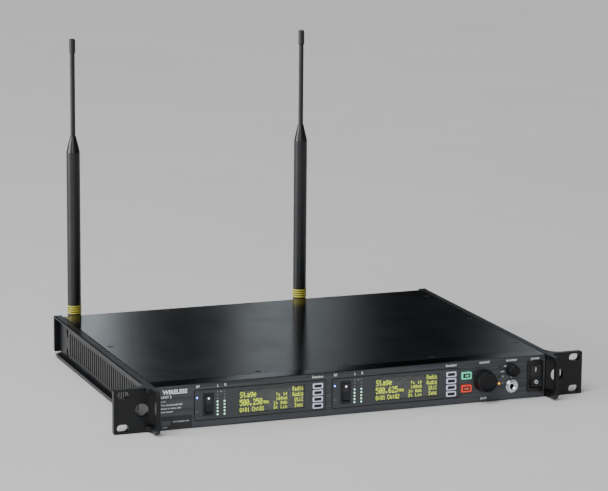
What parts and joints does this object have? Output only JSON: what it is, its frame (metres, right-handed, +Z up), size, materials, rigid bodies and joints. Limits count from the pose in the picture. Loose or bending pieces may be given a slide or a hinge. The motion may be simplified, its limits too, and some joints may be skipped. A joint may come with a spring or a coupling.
{
  "type": "wireless receiver unit",
  "caption": "Rack-mount two-channel wireless audio unit: displays, keys, control knob, monitor section, mains switch, rear connectors, two hinged whip antennas.",
  "frame": {"origin": "centre of the four rack bolt slots, on the back face of the rack ears", "axes": "+X to the right seen from the front, +Y towards the back of the rack, +Z up"},
  "size_m": [0.4826, 0.3564, 0.3294],
  "materials": {
    "frame_cast": "satin black powder coat on a casting",
    "cover_paint": "satin black fine-texture paint",
    "pan_steel": "satin black coated steel",
    "panel_anodised": "dark grey anodised, brushed side to side",
    "black_screw": "blackened steel",
    "bright_steel": "bright plated",
    "black_plastic": "moulded, fine texture",
    "gloss_black": "moulded, slight gloss",
    "clear_window": "clear",
    "display_glass": "dark dot-matrix display",
    "led_lens": "diffused light pipe",
    "key_lilac": "translucent, lit from behind",
    "key_green": "translucent, lit from behind",
    "key_red": "translucent, lit from behind",
    "knob_rubber": "soft-touch",
    "nickel": "polished nickel",
    "circuit_board": "solder mask",
    "supply_board": "bare laminate",
    "tin_plate": "tinned sheet",
    "band_yellow": "coloured ring",
    "whip_rubber": "moulded sleeve"
  },
  "bodies": {
    "root": {"chassis_pan": "pan_steel", "top_cover": "cover_paint", "rear_panel": "pan_steel", "front_panel": "panel_anodised", "side_frame_left": "frame_cast", "side_frame_right": "frame_cast", "cover_screws": "black_screw", "side_screws": "bright_steel", "channel_1_bezel": "gloss_black", "channel_2_bezel": "gloss_black", "display_window_1": "clear_window", "display_window_2": "clear_window", "display_module_1": "display_glass", "display_module_2": "display_glass", "rf_switch_1_body": "gloss_black", "rf_switch_2_body": "gloss_black", "panel_leds": "led_lens", "control_encoder": "tin_plate", "monitor_pot": "tin_plate", "headphone_jack": "black_plastic", "headphone_nut": "nickel", "power_switch_body": "gloss_black", "front_board": "circuit_board", "main_board": "circuit_board", "power_supply": "supply_board", "rf_shields": "tin_plate", "board_standoffs": "tin_plate", "ac_inlet": "black_plastic", "ac_outlet": "black_plastic", "ethernet_ports": "tin_plate", "audio_inputs": "black_plastic", "loop_outputs": "black_plastic", "antenna_sockets": "nickel"},
    "channel_1_button_a": {"channel_1_button_a": "key_lilac"},
    "channel_1_button_b": {"channel_1_button_b": "key_lilac"},
    "channel_1_button_c": {"channel_1_button_c": "key_lilac"},
    "channel_1_button_d": {"channel_1_button_d": "key_lilac"},
    "channel_2_button_a": {"channel_2_button_a": "key_lilac"},
    "channel_2_button_b": {"channel_2_button_b": "key_lilac"},
    "channel_2_button_c": {"channel_2_button_c": "key_lilac"},
    "channel_2_button_d": {"channel_2_button_d": "key_lilac"},
    "enter_button": {"enter_button": "key_green"},
    "exit_button": {"exit_button": "key_red"},
    "control_shaft": {"control_shaft": "bright_steel"},
    "control_knob": {"control_knob": "knob_rubber"},
    "monitor_shaft": {"monitor_shaft": "bright_steel"},
    "monitor_knob": {"monitor_knob": "knob_rubber"},
    "rf_switch_1_rocker": {"rf_switch_1_rocker": "black_plastic"},
    "rf_switch_2_rocker": {"rf_switch_2_rocker": "black_plastic"},
    "power_rocker": {"power_rocker": "black_plastic"},
    "antenna_1_collar": {"antenna_1_collar": "bright_steel"},
    "antenna_1_knuckle": {"antenna_1_knuckle": "whip_rubber"},
    "antenna_1_whip": {"antenna_1_sleeve": "whip_rubber", "antenna_1_bands": "band_yellow", "antenna_1_whip": "whip_rubber"},
    "antenna_2_collar": {"antenna_2_collar": "bright_steel"},
    "antenna_2_knuckle": {"antenna_2_knuckle": "whip_rubber"},
    "antenna_2_whip": {"antenna_2_sleeve": "whip_rubber", "antenna_2_bands": "band_yellow", "antenna_2_whip": "whip_rubber"}
  },
  "joints": [
    {"name": "channel_1_button_a_press", "type": "slide", "parent": "root", "child": "channel_1_button_a", "axis": [0, 1, 0], "range_m": [0, 0.0006], "stiffness_N_per_m": 1500, "springref_m": -0.0004},
    {"name": "channel_1_button_b_press", "type": "slide", "parent": "root", "child": "channel_1_button_b", "axis": [0, 1, 0], "range_m": [0, 0.0006], "stiffness_N_per_m": 1500, "springref_m": -0.0004},
    {"name": "channel_1_button_c_press", "type": "slide", "parent": "root", "child": "channel_1_button_c", "axis": [0, 1, 0], "range_m": [0, 0.0006], "stiffness_N_per_m": 1500, "springref_m": -0.0004},
    {"name": "channel_1_button_d_press", "type": "slide", "parent": "root", "child": "channel_1_button_d", "axis": [0, 1, 0], "range_m": [0, 0.0006], "stiffness_N_per_m": 1500, "springref_m": -0.0004},
    {"name": "channel_2_button_a_press", "type": "slide", "parent": "root", "child": "channel_2_button_a", "axis": [0, 1, 0], "range_m": [0, 0.0006], "stiffness_N_per_m": 1500, "springref_m": -0.0004},
    {"name": "channel_2_button_b_press", "type": "slide", "parent": "root", "child": "channel_2_button_b", "axis": [0, 1, 0], "range_m": [0, 0.0006], "stiffness_N_per_m": 1500, "springref_m": -0.0004},
    {"name": "channel_2_button_c_press", "type": "slide", "parent": "root", "child": "channel_2_button_c", "axis": [0, 1, 0], "range_m": [0, 0.0006], "stiffness_N_per_m": 1500, "springref_m": -0.0004},
    {"name": "channel_2_button_d_press", "type": "slide", "parent": "root", "child": "channel_2_button_d", "axis": [0, 1, 0], "range_m": [0, 0.0006], "stiffness_N_per_m": 1500, "springref_m": -0.0004},
    {"name": "enter_button_press", "type": "slide", "parent": "root", "child": "enter_button", "axis": [0, 1, 0], "range_m": [0, 0.0006], "stiffness_N_per_m": 1500, "springref_m": -0.0004},
    {"name": "exit_button_press", "type": "slide", "parent": "root", "child": "exit_button", "axis": [0, 1, 0], "range_m": [0, 0.0006], "stiffness_N_per_m": 1500, "springref_m": -0.0004},
    {"name": "control_push", "type": "slide", "parent": "root", "child": "control_shaft", "axis": [0, 1, 0], "range_m": [0, 0.0006], "stiffness_N_per_m": 2500, "springref_m": -0.0004},
    {"name": "control_turn", "type": "hinge", "parent": "control_shaft", "child": "control_knob", "pos_m": [0.1353, -0.005, 0.0002], "axis": [0, -1, 0], "continuous": true},
    {"name": "monitor_push", "type": "slide", "parent": "root", "child": "monitor_shaft", "axis": [0, 1, 0], "range_m": [0, 0.0006], "stiffness_N_per_m": 2500, "springref_m": -0.0004},
    {"name": "monitor_turn", "type": "hinge", "parent": "monitor_shaft", "child": "monitor_knob", "pos_m": [0.1646, -0.005, 0.0084], "axis": [0, -1, 0], "range_deg": [-150, 150]},
    {"name": "rf_switch_1_rock", "type": "hinge", "parent": "root", "child": "rf_switch_1_rocker", "pos_m": [-0.1487, -0.0018, 0.0005], "axis": [1, 0, 0], "range_deg": [0, 14]},
    {"name": "rf_switch_2_rock", "type": "hinge", "parent": "root", "child": "rf_switch_2_rocker", "pos_m": [-0.01, -0.0018, 0.0005], "axis": [1, 0, 0], "range_deg": [0, 14]},
    {"name": "power_rock", "type": "hinge", "parent": "root", "child": "power_rocker", "pos_m": [0.19, -0.0016, 0.0001], "axis": [1, 0, 0], "range_deg": [0, 16]},
    {"name": "antenna_1_lock", "type": "hinge", "parent": "root", "child": "antenna_1_collar", "pos_m": [0.066, 0.3225, 0], "axis": [0, 1, 0], "range_deg": [-90, 0]},
    {"name": "antenna_1_swivel", "type": "hinge", "parent": "root", "child": "antenna_1_knuckle", "pos_m": [0.066, 0.3225, 0], "axis": [0, 1, 0], "range_deg": [-50, 50]},
    {"name": "antenna_1_tilt", "type": "hinge", "parent": "antenna_1_knuckle", "child": "antenna_1_whip", "pos_m": [0.066, 0.3225, 0], "axis": [-1, 0, 0], "range_deg": [0, 90]},
    {"name": "antenna_2_lock", "type": "hinge", "parent": "root", "child": "antenna_2_collar", "pos_m": [-0.1846, 0.3225, 0], "axis": [0, 1, 0], "range_deg": [-90, 0]},
    {"name": "antenna_2_swivel", "type": "hinge", "parent": "root", "child": "antenna_2_knuckle", "pos_m": [-0.1846, 0.3225, 0], "axis": [0, 1, 0], "range_deg": [-50, 50]},
    {"name": "antenna_2_tilt", "type": "hinge", "parent": "antenna_2_knuckle", "child": "antenna_2_whip", "pos_m": [-0.1846, 0.3225, 0], "axis": [-1, 0, 0], "range_deg": [0, 90]}
  ]
}
